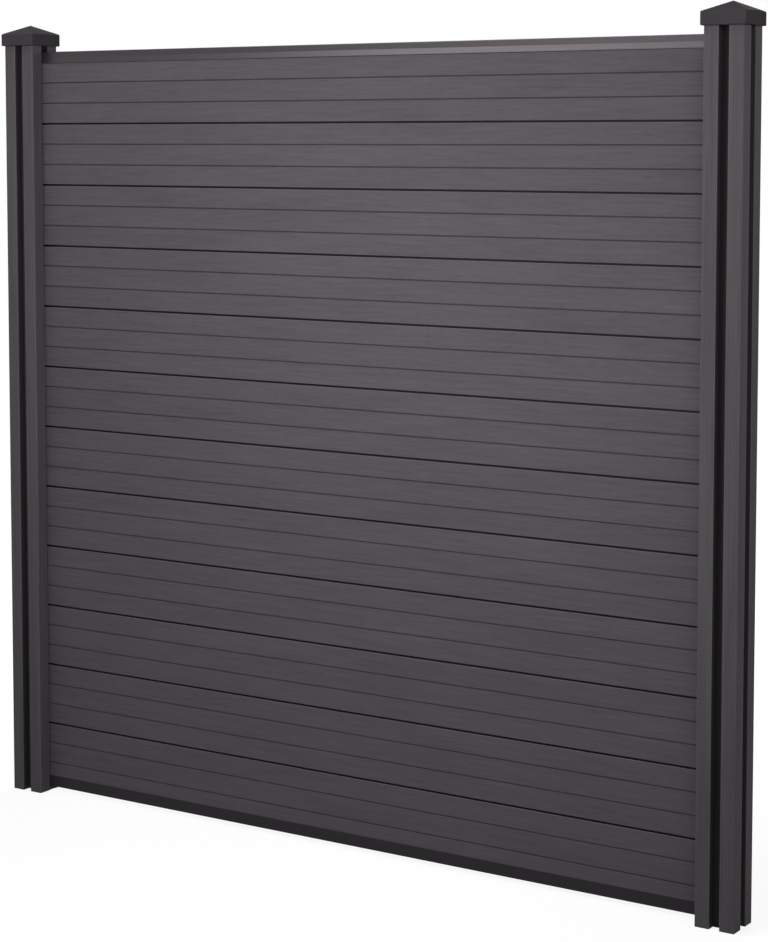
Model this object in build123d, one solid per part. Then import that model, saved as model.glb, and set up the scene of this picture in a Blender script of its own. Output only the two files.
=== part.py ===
from build123d import *
import os

# One bay of a slatted composite fence, in millimetres.
# X runs along the fence, the front faces -Y, Z is up, and the origin is on the ground below the middle.

# Boards: hollow extrusions with a tongue above and a groove below
BOARD_COUNT = 12
BOARD_PITCH = 150.0
BOARD_THICKNESS = 19.0
BOARD_WALL = 4.5
BOARD_WEB = 5.0
BOARD_EDGE_RADIUS = 1.2
CHAMBER_CHAMFER = 1.5
JOINT_GAP = 4.5
TONGUE_THICKNESS = 7.0
TONGUE_ENGAGEMENT = 8.0
TONGUE_CLEARANCE = 0.4
TONGUE_LEAD = 1.2

# Shallow decorative grooves that divide each board's face into equal strips
STRIPS_PER_BOARD = 3
FACE_GROOVE_WIDTH = 3.6
FACE_GROOVE_FLOOR = 2.0
FACE_GROOVE_DEPTH = 1.6

# Aluminium rails above and below the boards
RAIL_WALL = 1.3
RAIL_CLEARANCE = 0.2
TOP_RAIL_HEIGHT = 28.5
TOP_RAIL_FLARE = 14.0
TOP_RAIL_TAPER = 2.2
TOP_RAIL_RADIUS = 2.0
TOP_RAIL_FOOT_RADIUS = 1.2
TOP_RAIL_MOUTH_CLEARANCE = 1.0
BOTTOM_RAIL_DROP = 11.0
BOTTOM_RAIL_OVERLAP = 17.0
BOTTOM_RAIL_RADIUS = 0.8

# Posts: hollow extrusions with a slot in each side
CLEAR_SPAN = 1795.0
POST_WIDTH = 90.0
POST_WALL = 5.0
POST_CORNER_RADIUS = 3.0
POST_CHAMBER_CHAMFER = 1.5
SLOT_DEPTH = 20.0
SLOT_CLEARANCE = 0.5
SLOT_MOUTH_RADIUS = 1.0
END_GAP = 2.5
POST_REVEAL = 15.0

# Caps: moulded shells with an upright skirt and a low pyramid top
CAP_OVERHANG = 5.5
CAP_OVERLAP = 25.0
CAP_RISE = 22.0
CAP_EASING = 1.5
CAP_SHELL = 4.0
CAP_CLEARANCE = 0.3

# Blocks in the foot of the inner slots that the bottom rail stands on
GROUND_GAP = 12.0
BLOCK_SETBACK = 2.0
BLOCK_CLEARANCE = 0.2

# Board levels, measured from the middle of the joint below the board
joint_half = JOINT_GAP / 2
board_shoulder = BOARD_PITCH - joint_half
groove_floor = joint_half + TONGUE_ENGAGEMENT
tongue_height = JOINT_GAP + TONGUE_ENGAGEMENT
groove_width = TONGUE_THICKNESS + 2 * TONGUE_CLEARANCE
strip_height = BOARD_PITCH / STRIPS_PER_BOARD
half_board = BOARD_THICKNESS / 2

# Levels above the ground
first_joint = GROUND_GAP + BOTTOM_RAIL_DROP
top_shoulder = first_joint + (BOARD_COUNT - 1) * BOARD_PITCH + board_shoulder
top_rail_top = top_shoulder + TOP_RAIL_HEIGHT
skirt_bottom = top_rail_top + POST_REVEAL
post_height = skirt_bottom + CAP_OVERLAP

# Widths and lengths that follow from the fits
rail_width = BOARD_THICKNESS + 2 * (RAIL_CLEARANCE + RAIL_WALL)
slot_width = rail_width + 2 * SLOT_CLEARANCE
half_post = POST_WIDTH / 2
core_half = half_post - SLOT_DEPTH
socket_width = 2 * (core_half - POST_WALL)
panel_length = CLEAR_SPAN + 2 * (SLOT_DEPTH - END_GAP)
post_centre = (CLEAR_SPAN + POST_WIDTH) / 2
cap_reach = half_post + CAP_OVERHANG
cap_skirt = CAP_OVERLAP + CAP_SHELL
cap_slope = CAP_RISE / cap_reach

FROM_BOTTOM = (Align.CENTER, Align.MIN)
SAME_PLACE = 0.01


def along_fence(section):
    """Extrude a section drawn across the fence, thickness and height, over the panel's length."""
    return extrude(Plane.YZ * section, amount=panel_length / 2, both=True)


def face_groove(side, height):
    """Outline of one shallow groove in the front or back face of a board."""
    half_mouth = FACE_GROOVE_WIDTH / 2
    half_floor = FACE_GROOVE_FLOOR / 2
    face = side * half_board
    floor = side * (half_board - FACE_GROOVE_DEPTH)
    outline = Polyline(
        (face, height - half_mouth),
        (face, height + half_mouth),
        (floor, height + half_floor),
        (floor, height - half_floor),
        close=True,
    )
    return make_face(outline)


def board_chambers():
    """Two hollow chambers behind each strip of a board, with a web behind each face groove."""
    chambers = Sketch()
    chamber_thickness = BOARD_THICKNESS - 2 * BOARD_WALL
    for strip in range(STRIPS_PER_BOARD):
        low = max(strip * strip_height + BOARD_WEB / 2, groove_floor + BOARD_WEB)
        high = min((strip + 1) * strip_height - BOARD_WEB / 2, board_shoulder - BOARD_WEB)
        chamber_height = (high - low - BOARD_WEB) / 2
        for start in (low, high - chamber_height):
            chamber = Rectangle(chamber_thickness, chamber_height, align=FROM_BOTTOM)
            chambers += Pos(0, start) * chamfer(chamber.vertices(), CHAMBER_CHAMFER)
    return chambers


def board_section():
    """Section of a board, with its lower joint's middle at height zero."""
    face_height = BOARD_PITCH - JOINT_GAP
    body = Rectangle(BOARD_THICKNESS, face_height, align=FROM_BOTTOM)
    body = Pos(0, joint_half) * fillet(body.vertices(), BOARD_EDGE_RADIUS)
    tongue = Rectangle(TONGUE_THICKNESS, tongue_height, align=FROM_BOTTOM)
    tongue = Pos(0, board_shoulder) * chamfer(tongue.vertices().sort_by(Axis.Y)[-2:], TONGUE_LEAD)
    groove = Pos(0, joint_half) * Rectangle(groove_width, TONGUE_ENGAGEMENT, align=FROM_BOTTOM)
    section = body + tongue - groove - board_chambers()
    for division in range(1, STRIPS_PER_BOARD):
        for side in (-1, 1):
            section -= face_groove(side, division * strip_height)
    return section


def top_rail_section():
    """Section of the top rail: feet on the board's shoulders, a flared foot and a narrower hollow head."""
    foot = rail_width / 2
    head = foot - TOP_RAIL_TAPER
    outline = Polyline(
        (-foot, 0),
        (foot, 0),
        (head, TOP_RAIL_FLARE),
        (head, TOP_RAIL_HEIGHT),
        (-head, TOP_RAIL_HEIGHT),
        (-head, TOP_RAIL_FLARE),
        close=True,
    )
    outside = make_face(outline)
    hollow = offset(outside, amount=-RAIL_WALL, kind=Kind.INTERSECTION)
    outside = fillet(outside.vertices().group_by(Axis.Y)[-1], TOP_RAIL_RADIUS)
    outside = fillet(outside.vertices().group_by(Axis.Y)[0], TOP_RAIL_FOOT_RADIUS)
    mouth_width = TONGUE_THICKNESS + 2 * TOP_RAIL_MOUTH_CLEARANCE
    mouth = Rectangle(mouth_width, 2 * RAIL_WALL)
    return outside - hollow - mouth


def bottom_rail_section():
    """Section of the bottom rail: a channel round the lowest board, with a hollow rib in its groove."""
    rail_height = BOTTOM_RAIL_DROP + BOTTOM_RAIL_OVERLAP
    rib_height = BOTTOM_RAIL_DROP + groove_floor
    inner_width = rail_width - 2 * RAIL_WALL
    outside = Rectangle(rail_width, rail_height, align=FROM_BOTTOM)
    outside = fillet(outside.vertices(), BOTTOM_RAIL_RADIUS)
    trough = Pos(0, RAIL_WALL) * Rectangle(inner_width, rail_height, align=FROM_BOTTOM)
    rib = Rectangle(TONGUE_THICKNESS, rib_height, align=FROM_BOTTOM)
    rib = chamfer(rib.vertices().sort_by(Axis.Y)[-2:], TONGUE_LEAD)
    rib_hollow_width = TONGUE_THICKNESS - 2 * RAIL_WALL
    rib_hollow_height = rib_height - 2 * RAIL_WALL - TONGUE_LEAD
    rib_hollow = Pos(0, RAIL_WALL) * Rectangle(rib_hollow_width, rib_hollow_height, align=FROM_BOTTOM)
    return outside - trough + rib - rib_hollow


def post_section():
    """Section of a post: slots in four sides, a square socket in the middle and a chamber in each corner."""
    section = Rectangle(POST_WIDTH, POST_WIDTH)
    section = fillet(section.vertices(), POST_CORNER_RADIUS)
    slot = Pos(half_post, 0) * Rectangle(2 * SLOT_DEPTH, slot_width)
    for quarter in range(4):
        section -= Rot(0, 0, 90 * quarter) * slot
    on_faces = [v for v in section.vertices() if abs(max(abs(v.X), abs(v.Y)) - half_post) < SAME_PLACE]
    mouths = [v for v in on_faces if abs(min(abs(v.X), abs(v.Y)) - slot_width / 2) < SAME_PLACE]
    section = fillet(mouths, SLOT_MOUTH_RADIUS)
    section -= Rectangle(socket_width, socket_width)
    inner = slot_width / 2 + POST_WALL
    outer = half_post - POST_WALL
    centre = (inner + outer) / 2
    chamber = Pos(centre, centre) * Rectangle(outer - inner, outer - inner)
    chamber -= Rectangle(2 * core_half, 2 * core_half)
    chamber = chamfer(chamber.vertices(), POST_CHAMBER_CHAMFER)
    for quarter in range(4):
        section -= Rot(0, 0, 90 * quarter) * chamber
    return section


def cap_profile():
    """Outline of a cap seen square on: upright skirt with eased edges below a slope to the apex."""
    eased = cap_reach - CAP_EASING
    right_side = [
        (eased, 0),
        (cap_reach, CAP_EASING),
        (cap_reach, cap_skirt - CAP_EASING),
        (eased, cap_skirt + CAP_EASING * cap_slope),
    ]
    left_side = [(-x, z) for x, z in reversed(right_side)]
    apex = (0, cap_skirt + CAP_RISE)
    return make_face(Polyline(*right_side, apex, *left_side, close=True))


def cap():
    """A cap with its skirt's foot at height zero: two crossed profiles meet in mitred corners."""
    ridge = extrude(Plane.XZ * cap_profile(), amount=2 * cap_reach, both=True)
    body = ridge & (Rot(0, 0, 90) * ridge)
    pocket_width = POST_WIDTH + 2 * CAP_CLEARANCE
    pocket = extrude(Rectangle(pocket_width, pocket_width), amount=CAP_OVERLAP)
    attic_width = POST_WIDTH - 2 * POST_WALL
    attic_eaves = CAP_RISE - cap_slope * attic_width / 2
    attic_plan = Pos(0, 0, CAP_OVERLAP) * Rectangle(attic_width, attic_width)
    attic = extrude(attic_plan, amount=attic_eaves)
    attic += loft([Pos(0, 0, attic_eaves) * attic_plan, Vertex(0, 0, CAP_OVERLAP + CAP_RISE)])
    return body - pocket - attic


def support_block():
    """Block for the foot of an inner slot, against the slot's floor at X zero and reaching towards +X."""
    width = slot_width - 2 * BLOCK_CLEARANCE
    depth = SLOT_DEPTH - BLOCK_SETBACK
    return Box(depth, width, GROUND_GAP, align=(Align.MIN, Align.CENTER, Align.MIN))


pieces = {}

board = along_fence(board_section())
for number in range(BOARD_COUNT):
    pieces[f"board_{number + 1:02d}"] = Pos(0, 0, first_joint + number * BOARD_PITCH) * board

pieces["top_rail"] = Pos(0, 0, top_shoulder) * along_fence(top_rail_section())
pieces["bottom_rail"] = Pos(0, 0, GROUND_GAP) * along_fence(bottom_rail_section())

post = extrude(post_section(), amount=post_height)
post_cap = cap()
block = support_block()
for side, turn, name in ((-1, 0, "left"), (1, 180, "right")):
    pieces[f"{name}_post"] = Pos(side * post_centre, 0, 0) * post
    pieces[f"{name}_post_cap"] = Pos(side * post_centre, 0, skirt_bottom) * post_cap
    slot_floor = side * (post_centre - core_half)
    pieces[f"{name}_support_block"] = Pos(slot_floor, 0, 0) * Rot(0, 0, turn) * block

os.makedirs("parts", exist_ok=True)
for node, shape in pieces.items():
    export_step(shape, f"parts/{node}.step")
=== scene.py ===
"""Dresses one bay of a slatted composite fence and stands it in a plain studio. All sizes are in metres."""

import logging
import math
from collections.abc import Callable, Iterable
from dataclasses import dataclass
from enum import Enum

import bmesh
import bpy
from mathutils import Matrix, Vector


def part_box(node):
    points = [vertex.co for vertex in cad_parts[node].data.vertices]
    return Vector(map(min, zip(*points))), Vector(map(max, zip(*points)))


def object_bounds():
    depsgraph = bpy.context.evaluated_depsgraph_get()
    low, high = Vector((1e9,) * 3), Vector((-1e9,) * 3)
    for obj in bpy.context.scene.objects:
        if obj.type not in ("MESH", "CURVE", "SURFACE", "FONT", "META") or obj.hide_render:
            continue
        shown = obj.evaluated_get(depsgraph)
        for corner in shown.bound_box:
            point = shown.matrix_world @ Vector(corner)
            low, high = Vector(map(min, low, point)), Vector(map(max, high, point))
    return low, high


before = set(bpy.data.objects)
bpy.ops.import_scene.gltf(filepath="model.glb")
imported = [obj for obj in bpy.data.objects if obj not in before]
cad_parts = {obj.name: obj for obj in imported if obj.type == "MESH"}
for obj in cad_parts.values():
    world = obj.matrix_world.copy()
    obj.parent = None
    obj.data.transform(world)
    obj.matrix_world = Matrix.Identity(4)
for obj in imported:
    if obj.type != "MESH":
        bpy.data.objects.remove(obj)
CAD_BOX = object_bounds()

log = logging.getLogger("fence_bay")

Colour = tuple[float, float, float]
Point = tuple[float, float, float]
Socket = bpy.types.NodeSocket
FRAME_HEIGHT_PX = 942
SENSOR_MM = 36.0


class GrainDirection(Enum):
    """Which way the lines of a finish run, as the order of axes that puts the lines along X."""

    ALONG_FENCE = ("X", "Y", "Z")
    UPRIGHT = ("Z", "X", "Y")


class Side(Enum):
    """The two ends of the bay, seen from its front."""

    LEFT = "left"
    RIGHT = "right"


class Effect(Enum):
    """Surface effects that several finishes share, each a node group that is made once."""

    BRUSHED_GRAIN = "Brushed grain"
    CHAFED_LIP = "Chafed lip"
    CLOUDY_TONE = "Cloudy tone"
    FINE_PEEL = "Fine peel"
    RAW_SKIN = "Raw skin"
    RUBBED_EDGE = "Rubbed edge"


class Graph:
    """A shader node tree, written one node at a time."""

    def __init__(self, tree: bpy.types.NodeTree) -> None:
        """Keeps the tree to write in."""
        self.tree = tree

    def add(self, kind: str, **settings: object) -> bpy.types.Node:
        """Adds a node.

        Args:
            kind: the node's type.
            settings: the node's properties, by name.

        Returns:
            The new node.
        """
        node = self.tree.nodes.new(kind)
        for name, value in settings.items():
            setattr(node, name, value)
        return node

    def put(self, value: object, socket: Socket) -> None:
        """Sets an input to a plain value, or links another node's output to it.

        Args:
            value: the value, or the output to link.
            socket: the input.
        """
        if isinstance(value, bpy.types.NodeSocket):
            self.tree.links.new(value, socket)
        else:
            socket.default_value = value

    def math(self, operation: str, *values: object, clamp: bool = False) -> Socket:
        """Works out one sum.

        Args:
            operation: the Math node's operation.
            values: numbers or sockets, in order.
            clamp: whether the result is kept from 0 to 1.

        Returns:
            The result.
        """
        node = self.add("ShaderNodeMath", operation=operation, use_clamp=clamp)
        for value, socket in zip(values, node.inputs):
            self.put(value, socket)
        return node.outputs["Value"]

    def ramp(self, value: Socket, low: float | Socket, high: float | Socket) -> Socket:
        """Works out a smooth step.

        Args:
            value: what the step goes by.
            low: where the step is still 0.
            high: where the step has reached 1.

        Returns:
            The step, from 0 to 1.
        """
        node = self.add("ShaderNodeMapRange", interpolation_type="SMOOTHSTEP")
        self.put(value, node.inputs["Value"])
        self.put(low, node.inputs["From Min"])
        self.put(high, node.inputs["From Max"])
        return node.outputs["Result"]

    def scaled(self, value: Socket, to_low: float, to_high: float) -> Socket:
        """Spreads a value evenly over another range.

        Args:
            value: a value from 0 to 1.
            to_low: what 0 becomes.
            to_high: what 1 becomes.

        Returns:
            The spread value.
        """
        node = self.add("ShaderNodeMapRange")
        self.put(value, node.inputs["Value"])
        self.put(to_low, node.inputs["To Min"])
        self.put(to_high, node.inputs["To Max"])
        return node.outputs["Result"]

    def blend(self, share: Socket, first: object, second: object) -> Socket:
        """Mixes two colours.

        Args:
            share: how much of the second colour shows, from 0 to 1.
            first: a colour or a socket.
            second: a colour or a socket.

        Returns:
            The mixed colour.
        """
        share_in, first_in, second_in, mixed_out = 0, 6, 7, 2
        node = self.add("ShaderNodeMix", data_type="RGBA")
        self.put(share, node.inputs[share_in])
        for value, place in ((first, first_in), (second, second_in)):
            self.put((*value, 1.0) if isinstance(value, tuple) else value, node.inputs[place])
        return node.outputs[mixed_out]

    def apart(self, vector: Socket) -> dict[str, Socket]:
        """Takes a vector apart.

        Args:
            vector: the vector.

        Returns:
            Its three parts, by axis.
        """
        node = self.add("ShaderNodeSeparateXYZ")
        self.put(vector, node.inputs["Vector"])
        return {axis: node.outputs[axis] for axis in ("X", "Y", "Z")}

    def joined(self, *parts: object) -> Socket:
        """Joins three parts.

        Args:
            parts: numbers or sockets, in order.

        Returns:
            The vector.
        """
        node = self.add("ShaderNodeCombineXYZ")
        for part, socket in zip(parts, node.inputs):
            self.put(part, socket)
        return node.outputs["Vector"]

    def divided(self, vector: Socket, by: Socket) -> Socket:
        """Divides one vector by another, axis by axis.

        Args:
            vector: the vector to divide.
            by: the vector to divide it by.

        Returns:
            The divided vector.
        """
        node = self.add("ShaderNodeVectorMath", operation="DIVIDE")
        self.put(vector, node.inputs[0])
        self.put(by, node.inputs[1])
        return node.outputs["Vector"]

    def noise(self, place: Socket, detail: float, roughness: float = 0.5) -> Socket:
        """Noise whose features are about one unit across.

        Args:
            place: the coordinates.
            detail: how many finer layers it has.
            roughness: how strong the finer layers are.

        Returns:
            A value from 0 to 1, about 0.5 on average.
        """
        node = self.add("ShaderNodeTexNoise", noise_dimensions="3D")
        self.put(place, node.inputs["Vector"])
        self.put(1.0, node.inputs["Scale"])
        self.put(detail, node.inputs["Detail"])
        self.put(roughness, node.inputs["Roughness"])
        return node.outputs["Fac"]

    def place(self) -> Socket:
        """The place on the object, in metres."""
        return self.add("ShaderNodeTexCoord").outputs["Object"]


class EffectKit:
    """Makes each shared effect once, as a node group, and places it in materials."""

    def __init__(self) -> None:
        """Starts with no group made."""
        self._made: dict[Effect, bpy.types.NodeTree] = {}
        self._makers: dict[Effect, Callable[[str], bpy.types.NodeTree]] = {
            Effect.BRUSHED_GRAIN: self._brushed_grain,
            Effect.CHAFED_LIP: self._chafed_lip,
            Effect.CLOUDY_TONE: self._cloudy_tone,
            Effect.FINE_PEEL: self._fine_peel,
            Effect.RAW_SKIN: self._raw_skin,
            Effect.RUBBED_EDGE: self._rubbed_edge,
        }

    def place(self, graph: Graph, effect: Effect, **values: object) -> dict[str, Socket]:
        """Places an effect in a material.

        Args:
            graph: the material's tree.
            effect: which effect.
            values: the group's inputs; an underscore stands for a space.

        Returns:
            The group's outputs, by name.
        """
        if effect not in self._made:
            self._made[effect] = self._makers[effect](effect.value)
        node = graph.add("ShaderNodeGroup", node_tree=self._made[effect], label=effect.value)
        for name, value in values.items():
            graph.put(value, node.inputs[name.replace("_", " ")])
        return {socket.name: socket for socket in node.outputs}

    @staticmethod
    def _new(name: str, vectors: Iterable[str], numbers: Iterable[str], results: Iterable[str]) -> Graph:
        """Starts a group.

        Args:
            name: the group's name.
            vectors: names of its vector inputs.
            numbers: names of its number inputs.
            results: names of its outputs.

        Returns:
            The group's tree, with its sockets.
        """
        tree = bpy.data.node_groups.new(name, "ShaderNodeTree")
        for socket in vectors:
            tree.interface.new_socket(socket, in_out="INPUT", socket_type="NodeSocketVector")
        for socket in numbers:
            tree.interface.new_socket(socket, in_out="INPUT", socket_type="NodeSocketFloat")
        for socket in results:
            tree.interface.new_socket(socket, in_out="OUTPUT", socket_type="NodeSocketFloat")
        return Graph(tree)

    @staticmethod
    def _close(graph: Graph, **results: Socket) -> bpy.types.NodeTree:
        """Ends a group.

        Args:
            graph: the group's tree.
            results: what each output gives.

        Returns:
            The finished group.
        """
        end = graph.add("NodeGroupOutput")
        for name, value in results.items():
            graph.put(value, end.inputs[name])
        return graph.tree

    def _brushed_grain(self, name: str) -> bpy.types.NodeTree:
        """Streaks, hairlines and short dark flecks along X.

        Args:
            name: the group's name.

        Returns:
            The group, with a tone and a height about 0.5.
        """
        hair_length, hair_spacing = 2.2, 0.22
        fleck_length, fleck_spacing = 0.35, 0.45
        fleck_low, fleck_high = 0.63, 0.74
        streak_share, hair_share = 0.6, 0.4
        fleck_tone, fleck_depth = -0.3, 1.4
        streak_layers, hair_layers, fleck_layers = 4.0, 2.0, 1.0
        layer_strength = 0.6
        graph = self._new(name, ["Place"], ["Line Length", "Line Spacing"], ["Tone", "Height"])
        start = graph.add("NodeGroupInput").outputs
        layers = []
        for length_share, spacing_share, detail in (
            (1.0, 1.0, streak_layers),
            (hair_length, hair_spacing, hair_layers),
            (fleck_length, fleck_spacing, fleck_layers),
        ):
            length = graph.math("MULTIPLY", start["Line Length"], length_share)
            spacing = graph.math("MULTIPLY", start["Line Spacing"], spacing_share)
            spread = graph.divided(start["Place"], graph.joined(length, spacing, spacing))
            layers.append(graph.noise(spread, detail, layer_strength))
        streaks, hairs, flecks = layers
        broad = graph.math("MULTIPLY", streaks, streak_share)
        lines = graph.math("ADD", broad, graph.math("MULTIPLY", hairs, hair_share))
        dents = graph.math("MULTIPLY", graph.ramp(flecks, fleck_low, fleck_high), fleck_tone)
        tone = graph.math("ADD", lines, dents, clamp=True)
        height = graph.math("ADD", lines, graph.math("MULTIPLY", dents, fleck_depth))
        return self._close(graph, Tone=tone, Height=height)

    def _chafed_lip(self, name: str) -> bpy.types.NodeTree:
        """Wear beside an edge, which the finishes also paint lighter as a highlight, wider in some places
        than in others.

        Args:
            name: the group's name.

        Returns:
            The group, with a mask that is 1 at the edge.
        """
        patch = 0.03
        least_reach, most_reach = 0.3, 1.7
        graph = self._new(name, ["Place"], ["Distance", "Width"], ["Mask"])
        start = graph.add("NodeGroupInput").outputs
        sizes = graph.joined(patch, patch, patch)
        patches = graph.noise(graph.divided(start["Place"], sizes), detail=2.0)
        reach = graph.math("MULTIPLY", start["Width"], graph.scaled(patches, least_reach, most_reach))
        untouched = graph.ramp(start["Distance"], 0.0, reach)
        return self._close(graph, Mask=graph.math("SUBTRACT", 1.0, untouched))

    def _cloudy_tone(self, name: str) -> bpy.types.NodeTree:
        """Broad soft patches.

        Args:
            name: the group's name.

        Returns:
            The group, with a tone about 0.5.
        """
        graph = self._new(name, ["Place"], ["Cloud Length", "Cloud Height"], ["Tone"])
        start = graph.add("NodeGroupInput").outputs
        sizes = graph.joined(start["Cloud Length"], start["Cloud Height"], start["Cloud Height"])
        return self._close(graph, Tone=graph.noise(graph.divided(start["Place"], sizes), detail=2.0))

    def _fine_peel(self, name: str) -> bpy.types.NodeTree:
        """The even fine pebbling of moulded plastic and powder coat.

        Args:
            name: the group's name.

        Returns:
            The group, with a tone and a height about 0.5.
        """
        speck_share = 0.4
        graph = self._new(name, ["Place"], ["Grain Size"], ["Tone", "Height"])
        start = graph.add("NodeGroupInput").outputs
        size = start["Grain Size"]
        speck = graph.math("MULTIPLY", size, speck_share)
        pebbles = graph.noise(graph.divided(start["Place"], graph.joined(size, size, size)), detail=2.0)
        specks = graph.noise(graph.divided(start["Place"], graph.joined(speck, speck, speck)), detail=1.0)
        return self._close(graph, Tone=specks, Height=pebbles)

    def _raw_skin(self, name: str) -> bpy.types.NodeTree:
        """Painted shade in recesses: darker below the outer faces, with an uneven edge.

        Args:
            name: the group's name.

        Returns:
            The group, with a mask that is 1 where the recess is fully painted as shade.
        """
        unevenness, patch = 0.0004, 0.012
        start_depth, full_depth = 0.0004, 0.003
        graph = self._new(name, ["Place"], ["Depth"], ["Mask"])
        start = graph.add("NodeGroupInput").outputs
        sizes = graph.joined(patch, patch, patch)
        patches = graph.noise(graph.divided(start["Place"], sizes), detail=1.0)
        waver = graph.math("MULTIPLY", patches, unevenness)
        depth = graph.math("ADD", start["Depth"], waver)
        return self._close(graph, Mask=graph.ramp(depth, start_depth, full_depth))

    def _rubbed_edge(self, name: str) -> bpy.types.NodeTree:
        """Outer edges that are a little polished by handling, and that the finishes paint lighter as a
        highlight.

        Args:
            name: the group's name.

        Returns:
            The group, with a mask that is 1 on the edges.
        """
        least_turn, full_turn = 0.01, 0.22
        graph = self._new(name, [], ["Width"], ["Mask"])
        start = graph.add("NodeGroupInput").outputs
        rounded = graph.add("ShaderNodeBevel", samples=6)
        graph.put(start["Width"], rounded.inputs["Radius"])
        flat = graph.add("ShaderNodeNewGeometry").outputs["Normal"]
        agreement = graph.add("ShaderNodeVectorMath", operation="DOT_PRODUCT")
        graph.put(rounded.outputs["Normal"], agreement.inputs[0])
        graph.put(flat, agreement.inputs[1])
        turn = graph.math("SUBTRACT", 1.0, agreement.outputs["Value"])
        return self._close(graph, Mask=graph.ramp(turn, least_turn, full_turn))


class Finish:
    """What every finish shares: a material with one Principled shader."""

    name: str

    def start(self, specular: float) -> tuple[bpy.types.Material, Graph, bpy.types.Node]:
        """Makes an empty material.

        Args:
            specular: the shader's specular level, the same all over.

        Returns:
            The material, its tree and its shader node.
        """
        material = bpy.data.materials.new(self.name)
        material.use_nodes = True
        graph = Graph(material.node_tree)
        graph.tree.nodes.clear()
        shader = graph.add("ShaderNodeBsdfPrincipled")
        end = graph.add("ShaderNodeOutputMaterial")
        graph.put(shader.outputs["BSDF"], end.inputs["Surface"])
        shader.inputs["Specular IOR Level"].default_value = specular
        return material, graph, shader

    @staticmethod
    def raise_surface(
        graph: Graph, shader: bpy.types.Node, height: Socket, relief: float, strength: float
    ) -> None:
        """Gives the shader a relief.

        Args:
            graph: the material's tree.
            shader: its Principled node.
            height: the height, from 0 to 1.
            relief: how deep the relief is.
            strength: how much of it shows.
        """
        bump = graph.add("ShaderNodeBump")
        bump.inputs["Distance"].default_value = relief
        bump.inputs["Strength"].default_value = strength
        graph.put(height, bump.inputs["Height"])
        graph.put(bump.outputs["Normal"], shader.inputs["Normal"])


Measure = Callable[[Graph, Socket], Socket]


@dataclass(frozen=True)
class BrushedComposite(Finish):
    """Wood-plastic composite: brushed faces, worn edges painted lighter as a highlight, and painted shade
    in grooves, joints and slots.
    """

    name: str
    dark: Colour
    light: Colour
    rubbed: Colour
    skin: Colour
    direction: GrainDirection
    line_length: float
    line_spacing: float
    cloud_length: float
    cloud_height: float
    wear_and_sheen_width: float
    wear_and_sheen_share: float = 0.3
    rub_polish: float = 0.25
    grain_share: float = 0.75
    relief: float = 0.0004
    relief_strength: float = 0.45
    smooth: float = 0.54
    rough: float = 0.72
    specular: float = 0.18

    def material(self, kit: EffectKit, below_face: Measure, near_edge: Measure) -> bpy.types.Material:
        """Makes the material.

        Args:
            kit: the shared effects.
            below_face: works out how far a place lies below the brushed faces.
            near_edge: works out how far a place on a face lies from an edge.

        Returns:
            The material.
        """
        material, graph, shader = self.start(self.specular)
        place = graph.place()
        parts = graph.apart(place)
        along = graph.joined(*(parts[axis] for axis in self.direction.value))
        grain = kit.place(graph, Effect.BRUSHED_GRAIN, Place=along,
                          Line_Length=self.line_length, Line_Spacing=self.line_spacing)
        cloud = kit.place(graph, Effect.CLOUDY_TONE, Place=along,
                          Cloud_Length=self.cloud_length, Cloud_Height=self.cloud_height)
        # Painted shade: grooves, joints and slots take a darker colour the deeper they lie below the faces.
        skin = kit.place(graph, Effect.RAW_SKIN, Place=place, Depth=below_face(graph, place))["Mask"]
        tone = graph.math(
            "ADD",
            graph.math("MULTIPLY", grain["Tone"], self.grain_share),
            graph.math("MULTIPLY", cloud["Tone"], 1.0 - self.grain_share),
            clamp=True,
        )
        # Edges take a lighter colour, partly wear and partly a painted highlight, and lose some roughness.
        wear_and_sheen_mask = kit.place(graph, Effect.CHAFED_LIP, Place=place,
                         Distance=near_edge(graph, place), Width=self.wear_and_sheen_width)["Mask"]
        edge_wear_and_sheen = graph.math("MULTIPLY", wear_and_sheen_mask, self.wear_and_sheen_share)
        face = graph.blend(edge_wear_and_sheen, graph.blend(tone, self.dark, self.light), self.rubbed)
        # The recesses take the painted shade colour in place of the brushed faces.
        graph.put(graph.blend(skin, face, self.skin), shader.inputs["Base Color"])
        polish = graph.math("MULTIPLY", edge_wear_and_sheen, self.rub_polish)
        roughness = graph.math("SUBTRACT", graph.scaled(tone, self.rough, self.smooth), polish)
        graph.put(roughness, shader.inputs["Roughness"])
        brushed = graph.math("SUBTRACT", 1.0, skin)
        height = graph.math("MULTIPLY", grain["Height"], brushed)
        self.raise_surface(graph, shader, height, self.relief, self.relief_strength)
        return material


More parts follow.
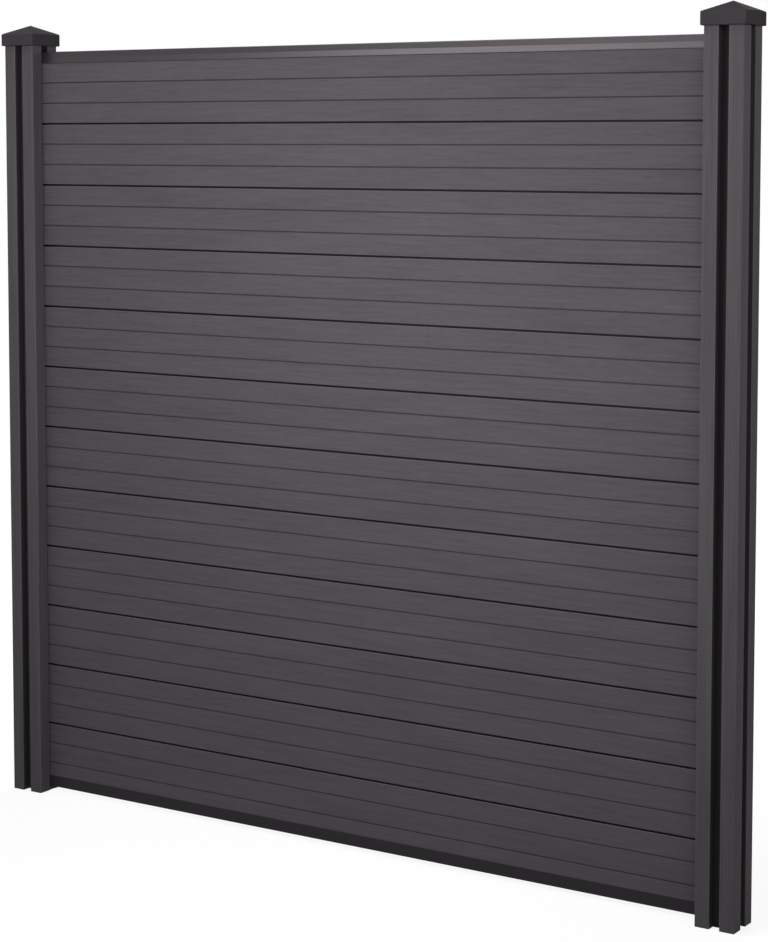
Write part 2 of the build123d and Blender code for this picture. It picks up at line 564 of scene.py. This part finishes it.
@dataclass(frozen=True)
class MouldedPlastic(Finish):
    """Moulded composite or plastic with a fine even pebbling, and edges that are a little rubbed and
    painted lighter as a highlight.
    """

    name: str
    dark: Colour
    light: Colour
    rubbed: Colour
    grain_size: float = 0.0011
    cloud_size: float = 0.06
    wear_and_sheen_width: float = 0.0012
    wear_and_sheen_share: float = 0.35
    peel_share: float = 0.5
    relief: float = 0.00025
    relief_strength: float = 0.4
    smooth: float = 0.5
    rough: float = 0.66
    specular: float = 0.15

    def material(self, kit: EffectKit) -> bpy.types.Material:
        """Makes the material.

        Args:
            kit: the shared effects.

        Returns:
            The material.
        """
        material, graph, shader = self.start(self.specular)
        place = graph.place()
        peel = kit.place(graph, Effect.FINE_PEEL, Place=place, Grain_Size=self.grain_size)
        cloud = kit.place(graph, Effect.CLOUDY_TONE, Place=place,
                          Cloud_Length=self.cloud_size, Cloud_Height=self.cloud_size)
        # Edges painted lighter: partly rubbed wear, partly a painted highlight.
        edge = kit.place(graph, Effect.RUBBED_EDGE, Width=self.wear_and_sheen_width)["Mask"]
        tone = graph.math(
            "ADD",
            graph.math("MULTIPLY", peel["Tone"], self.peel_share),
            graph.math("MULTIPLY", cloud["Tone"], 1.0 - self.peel_share),
            clamp=True,
        )
        body = graph.blend(tone, self.dark, self.light)
        edge_wear_and_sheen = graph.math("MULTIPLY", edge, self.wear_and_sheen_share)
        graph.put(graph.blend(edge_wear_and_sheen, body, self.rubbed), shader.inputs["Base Color"])
        graph.put(graph.scaled(tone, self.rough, self.smooth), shader.inputs["Roughness"])
        self.raise_surface(graph, shader, peel["Height"], self.relief, self.relief_strength)
        return material


@dataclass(frozen=True)
class PowderCoat(Finish):
    """Satin powder coat on drawn aluminium: fine peel over long faint drawing lines."""

    name: str
    dark: Colour
    light: Colour
    rubbed: Colour
    peel_size: float = 0.0009
    line_length: float = 0.9
    line_spacing: float = 0.0025
    wear_and_sheen_width: float = 0.0008
    wear_and_sheen_share: float = 0.3
    line_relief_share: float = 0.5
    relief: float = 0.00012
    relief_strength: float = 0.3
    smooth: float = 0.34
    rough: float = 0.46
    specular: float = 0.5
    sheen_tint: Colour = (1.0, 0.94, 1.0)

    def material(self, kit: EffectKit) -> bpy.types.Material:
        """Makes the material.

        Args:
            kit: the shared effects.

        Returns:
            The material.
        """
        material, graph, shader = self.start(self.specular)
        shader.inputs["Specular Tint"].default_value = (*self.sheen_tint, 1.0)
        place = graph.place()
        peel = kit.place(graph, Effect.FINE_PEEL, Place=place, Grain_Size=self.peel_size)
        lines = kit.place(graph, Effect.BRUSHED_GRAIN, Place=place,
                          Line_Length=self.line_length, Line_Spacing=self.line_spacing)
        # Edges painted lighter: partly rubbed wear, partly a painted highlight.
        edge = kit.place(graph, Effect.RUBBED_EDGE, Width=self.wear_and_sheen_width)["Mask"]
        body = graph.blend(lines["Tone"], self.dark, self.light)
        edge_wear_and_sheen = graph.math("MULTIPLY", edge, self.wear_and_sheen_share)
        graph.put(graph.blend(edge_wear_and_sheen, body, self.rubbed), shader.inputs["Base Color"])
        graph.put(graph.scaled(lines["Tone"], self.rough, self.smooth), shader.inputs["Roughness"])
        drawn = graph.math("MULTIPLY", lines["Height"], self.line_relief_share)
        height = graph.math("ADD", peel["Height"], drawn)
        self.raise_surface(graph, shader, height, self.relief, self.relief_strength)
        return material


# In these finishes the recess colour is painted shade, and the edge colour is wear and a painted highlight
# together.
BOARD_FINISH = BrushedComposite(
    name="Brushed charcoal board",
    dark=(0.044, 0.0402, 0.044),
    light=(0.148, 0.1358, 0.148),
    rubbed=(0.16, 0.148, 0.16),
    skin=(0.0035, 0.0032, 0.0035),
    direction=GrainDirection.ALONG_FENCE,
    line_length=0.085,
    line_spacing=0.0042,
    cloud_length=0.35,
    cloud_height=0.06,
    wear_and_sheen_width=0.0025,
)
POST_FINISH = BrushedComposite(
    name="Brushed charcoal post",
    dark=(0.042, 0.0384, 0.042),
    light=(0.169, 0.1546, 0.169),
    rubbed=(0.18, 0.165, 0.18),
    skin=(0.049, 0.0451, 0.049),
    direction=GrainDirection.UPRIGHT,
    line_length=0.4,
    line_spacing=0.0035,
    cloud_length=0.5,
    cloud_height=0.05,
    wear_and_sheen_width=0.004,
    specular=0.06,
)
CAP_FINISH = MouldedPlastic(
    name="Moulded charcoal cap",
    dark=(0.049, 0.0443, 0.049),
    light=(0.078, 0.0705, 0.078),
    rubbed=(0.12, 0.11, 0.12),
    smooth=0.74,
    rough=0.88,
    specular=0.012,
)
BLOCK_FINISH = MouldedPlastic(
    name="Black recycled plastic",
    dark=(0.012, 0.012, 0.012),
    light=(0.03, 0.029, 0.029),
    rubbed=(0.05, 0.05, 0.05),
    grain_size=0.0016,
)
TOP_RAIL_FINISH = PowderCoat(
    name="Charcoal powder coat",
    dark=(0.0195, 0.0168, 0.0195),
    light=(0.031, 0.0267, 0.031),
    rubbed=(0.07, 0.066, 0.07),
    specular=0.44,
    smooth=0.25,
    rough=0.34,
)
BOTTOM_RAIL_FINISH = PowderCoat(
    name="Near-black powder coat",
    dark=(0.023, 0.0205, 0.023),
    light=(0.039, 0.0348, 0.039),
    rubbed=(0.05, 0.048, 0.05),
    smooth=0.46,
    rough=0.58,
    specular=0.1,
)


def dress(node: str, material: bpy.types.Material) -> bpy.types.Object:
    """Gives a node its material.

    Args:
        node: the node's name.
        material: what it is made of.

    Returns:
        The node's object.
    """
    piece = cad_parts[node]
    for slot in piece.material_slots:
        slot.material = material
    log.info("%s is dressed in %s", node, material.name)
    return piece


@dataclass
class BoardStack:
    """The boards, one on another, each seated on the tongue of the board below."""

    nodes: list[str]
    half_thickness: float
    lowest_edge: float
    pitch: float
    joint_gap: float = 0.0045
    finish: BrushedComposite = BOARD_FINISH

    @classmethod
    def from_frame(cls) -> "BoardStack":
        """Reads the stack from the loaded model.

        Returns:
            The stack.
        """
        nodes = sorted(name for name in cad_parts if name.startswith("board_"))
        first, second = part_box(nodes[0]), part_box(nodes[1])
        return cls(nodes, first[1].y, first[0].z, second[0].z - first[0].z)

    def below_face(self, graph: Graph, place: Socket) -> Socket:
        """How far a place lies below the nearer face of its board.

        Args:
            graph: the material's tree.
            place: the place on the board.

        Returns:
            The depth.
        """
        across = graph.math("ABSOLUTE", graph.apart(place)["Y"])
        return graph.math("SUBTRACT", self.half_thickness, across)

    def near_edge(self, graph: Graph, place: Socket) -> Socket:
        """How far a place on a board's face lies from the nearer long edge of the board.

        Args:
            graph: the material's tree.
            place: the place on the board.

        Returns:
            The distance.
        """
        height = graph.math("SUBTRACT", graph.apart(place)["Z"], self.lowest_edge)
        from_low = graph.math("FLOORED_MODULO", height, self.pitch)
        from_high = graph.math("SUBTRACT", self.pitch - self.joint_gap, from_low)
        return graph.math("MINIMUM", from_low, from_high)

    def dress(self, kit: EffectKit) -> None:
        """Gives every board its brushed faces, and painted shade in its grooves and joints.

        Args:
            kit: the shared effects.
        """
        material = self.finish.material(kit, self.below_face, self.near_edge)
        for node in self.nodes:
            dress(node, material)


@dataclass
class RailPair:
    """The satin rail that closes the stack above, and the dark channel that carries it below."""

    top: str = "top_rail"
    bottom: str = "bottom_rail"
    top_finish: PowderCoat = TOP_RAIL_FINISH
    bottom_finish: PowderCoat = BOTTOM_RAIL_FINISH

    def dress(self, kit: EffectKit) -> None:
        """Gives both rails their coats."""
        dress(self.top, self.top_finish.material(kit))
        dress(self.bottom, self.bottom_finish.material(kit))


@dataclass
class PostPair:
    """The slotted posts with their caps and the blocks in their feet."""

    half_width: float
    centre: float
    post_finish: BrushedComposite = POST_FINISH
    cap_finish: MouldedPlastic = CAP_FINISH
    block_finish: MouldedPlastic = BLOCK_FINISH
    slot_half_width: float = 0.0115
    cap_easing: float = 0.0007
    easing_steps: int = 3
    weld_reach: float = 0.00001

    @classmethod
    def from_frame(cls) -> "PostPair":
        """Reads the posts' width and place from the loaded model."""
        low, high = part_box("right_post")
        return cls(half_width=high.y, centre=(low.x + high.x) / 2)

    def below_face(self, graph: Graph, place: Socket) -> Socket:
        """How far a place lies below the nearest outer face of its post.

        Args:
            graph: the material's tree.
            place: the place on the post.

        Returns:
            The depth.
        """
        reach = graph.math("MAXIMUM", *self.from_axis(graph, place))
        return graph.math("SUBTRACT", self.half_width, reach)

    def near_edge(self, graph: Graph, place: Socket) -> Socket:
        """How far a place on a post's face lies from the nearest corner or slot.

        Args:
            graph: the material's tree.
            place: the place on the post.

        Returns:
            The distance.
        """
        along_face = graph.math("MINIMUM", *self.from_axis(graph, place))
        from_corner = graph.math("SUBTRACT", self.half_width, along_face)
        from_slot = graph.math("SUBTRACT", along_face, self.slot_half_width)
        return graph.math("MINIMUM", from_corner, from_slot)

    def from_axis(self, graph: Graph, place: Socket) -> tuple[Socket, Socket]:
        """How far a place lies from its post's axis, along the fence and across it.

        Args:
            graph: the material's tree.
            place: the place on the post.

        Returns:
            Both distances.
        """
        parts = graph.apart(place)
        along = graph.math("SUBTRACT", graph.math("ABSOLUTE", parts["X"]), self.centre)
        return graph.math("ABSOLUTE", along), graph.math("ABSOLUTE", parts["Y"])

    def ease(self, cap: bpy.types.Object) -> None:
        """Joins the faces of a cap along their edges, then rounds these moulded edges a little.

        Args:
            cap: the cap's object.
        """
        weld = cap.modifiers.new("Joined faces", "WELD")
        weld.merge_threshold = self.weld_reach
        bevel = cap.modifiers.new("Eased edges", "BEVEL")
        bevel.width = self.cap_easing
        bevel.segments = self.easing_steps
        bevel.limit_method = "ANGLE"
        bevel.harden_normals = True

    def dress(self, kit: EffectKit) -> None:
        """Dresses posts, caps and blocks on both sides.

        Args:
            kit: the shared effects.
        """
        post = self.post_finish.material(kit, self.below_face, self.near_edge)
        cap = self.cap_finish.material(kit)
        block = self.block_finish.material(kit)
        for side in Side:
            dress(f"{side.value}_post", post)
            self.ease(dress(f"{side.value}_post_cap", cap))
            dress(f"{side.value}_support_block", block)


@dataclass(frozen=True)
class SoftBox:
    """A rectangular soft lamp."""

    name: str
    place: Point
    aim: Point
    width: float
    height: float
    watts: float

    def build(self) -> bpy.types.Object:
        """Hangs the lamp.

        Returns:
            The lamp's object.
        """
        light = bpy.data.lights.new(self.name, "AREA")
        light.shape = "RECTANGLE"
        light.size = self.width
        light.size_y = self.height
        light.energy = self.watts
        lamp = bpy.data.objects.new(self.name, light)
        lamp.location = self.place
        lamp.rotation_euler = (Vector(self.aim) - Vector(self.place)).to_track_quat("-Z", "Y").to_euler()
        lamp.visible_camera = False
        bpy.context.scene.collection.objects.link(lamp)
        return lamp


@dataclass(frozen=True)
class Viewpoint:
    """The camera, as found from the perspective of the boards."""

    place: Point = (2.8942, -4.3097, 1.633)
    turned_left_deg: float = 32.969
    tilted_down_deg: float = 4.385
    focal_px: float = 2292.7
    raised_centre_px: float = 155.0

    def build(self) -> bpy.types.Object:
        """Sets the camera up.

        Returns:
            The camera's object.
        """
        lens = bpy.data.cameras.new("camera")
        lens.sensor_width = SENSOR_MM
        lens.lens = self.focal_px * SENSOR_MM / FRAME_HEIGHT_PX
        lens.shift_y = -self.raised_centre_px / FRAME_HEIGHT_PX
        camera = bpy.data.objects.new("camera", lens)
        camera.location = self.place
        tilt = math.radians(90.0 - self.tilted_down_deg)
        camera.rotation_euler = (tilt, 0.0, math.radians(self.turned_left_deg))
        bpy.context.scene.collection.objects.link(camera)
        bpy.context.scene.camera = camera
        return camera


@dataclass
class Studio:
    """A plain pale floor, a white backdrop, soft lamps and the camera."""

    floor_reach: float = 40.0
    floor_drop: float = 0.0002
    floor_colour: Colour = (0.2, 0.2, 0.2)
    floor_glow_near: float = 0.86
    floor_glow_far: float = 1.0
    glow_start: float = 0.9
    glow_end: float = 2.6
    surroundings: float = 0.08
    lamps: tuple[SoftBox, ...] = (
        SoftBox(
            "front_softbox", place=(0.14, -1.25, 1.3), aim=(0.14, 0.0, 1.3),
            width=0.9, height=0.9, watts=8.4,
        ),
        SoftBox(
            "left_softbox", place=(-0.9, -2.42, 2.58), aim=(0.35, 0.0, 1.83),
            width=1.5, height=0.7, watts=25.0,
        ),
        SoftBox(
            "right_softbox", place=(2.7, -1.4, 2.3), aim=(0.2, 0.0, 1.5),
            width=2.4, height=1.0, watts=30.0,
        ),
        SoftBox(
            "high_softbox", place=(-1.6, -0.9, 5.2), aim=(0.0, 0.0, 1.9),
            width=1.2, height=1.2, watts=68.0,
        ),
        SoftBox(
            "back_softbox", place=(-0.6, 3.2, 2.4), aim=(0.0, 0.0, 1.1),
            width=2.2, height=1.6, watts=70.0,
        ),
    )
    viewpoint: Viewpoint = Viewpoint()

    @staticmethod
    def shown_rays(graph: Graph) -> Socket:
        """Picks out the rays that show the surroundings: seen straight on, mirrored or through glass.

        Args:
            graph: the tree that asks.

        Returns:
            1 for such rays, otherwise 0.
        """
        path = graph.add("ShaderNodeLightPath").outputs
        seen = graph.math("MAXIMUM", path["Is Camera Ray"], path["Is Glossy Ray"])
        return graph.math("MAXIMUM", seen, path["Is Transmission Ray"])

    def floor_material(self) -> bpy.types.Material:
        """A pale matt floor that fades into the backdrop and keeps the bay's shadow.

        Returns:
            The material.
        """
        material = bpy.data.materials.new("Pale floor")
        material.use_nodes = True
        graph = Graph(material.node_tree)
        graph.tree.nodes.clear()
        matt = graph.add("ShaderNodeBsdfDiffuse")
        matt.inputs["Color"].default_value = (*self.floor_colour, 1.0)
        distance = graph.add("ShaderNodeVectorMath", operation="LENGTH")
        graph.put(graph.place(), distance.inputs[0])
        far = graph.ramp(distance.outputs["Value"], self.glow_start, self.glow_end)
        level = graph.scaled(far, self.floor_glow_near, self.floor_glow_far)
        glow = graph.add("ShaderNodeEmission")
        graph.put(graph.math("MULTIPLY", level, self.shown_rays(graph)), glow.inputs["Strength"])
        both = graph.add("ShaderNodeAddShader")
        graph.put(matt.outputs["BSDF"], both.inputs[0])
        graph.put(glow.outputs["Emission"], both.inputs[1])
        end = graph.add("ShaderNodeOutputMaterial")
        graph.put(both.outputs["Shader"], end.inputs["Surface"])
        return material

    def lay_floor(self) -> bpy.types.Object:
        """Lays the floor just under the posts' feet.

        Returns:
            The floor's object.
        """
        mesh = bpy.data.meshes.new("floor")
        shape = bmesh.new()
        bmesh.ops.create_grid(shape, x_segments=1, y_segments=1, size=self.floor_reach)
        shape.to_mesh(mesh)
        shape.free()
        mesh.materials.append(self.floor_material())
        floor = bpy.data.objects.new("floor", mesh)
        floor.location.z = CAD_BOX[0].z - self.floor_drop
        bpy.context.scene.collection.objects.link(floor)
        return floor

    def hang_backdrop(self) -> None:
        """White where it shows, and a soft even light where it only lights."""
        world = bpy.data.worlds.new("backdrop")
        world.use_nodes = True
        bpy.context.scene.world = world
        graph = Graph(world.node_tree)
        graph.tree.nodes.clear()
        level = graph.scaled(self.shown_rays(graph), self.surroundings, 1.0)
        white = graph.add("ShaderNodeBackground")
        white.inputs["Color"].default_value = (1.0, 1.0, 1.0, 1.0)
        graph.put(level, white.inputs["Strength"])
        end = graph.add("ShaderNodeOutputWorld")
        graph.put(white.outputs["Background"], end.inputs["Surface"])

    def build(self) -> None:
        """Sets up the whole studio."""
        bpy.context.scene.view_settings.view_transform = "Standard"
        self.lay_floor()
        self.hang_backdrop()
        for lamp in self.lamps:
            lamp.build()
        self.viewpoint.build()


def main() -> None:
    """Dresses the sub-assemblies in order and sets up the studio."""
    logging.basicConfig(level=logging.INFO, format="%(name)s: %(message)s")
    kit = EffectKit()
    for assembly in (BoardStack.from_frame(), RailPair(), PostPair.from_frame()):
        assembly.dress(kit)
    Studio().build()


if __name__ == "__main__":
    main()
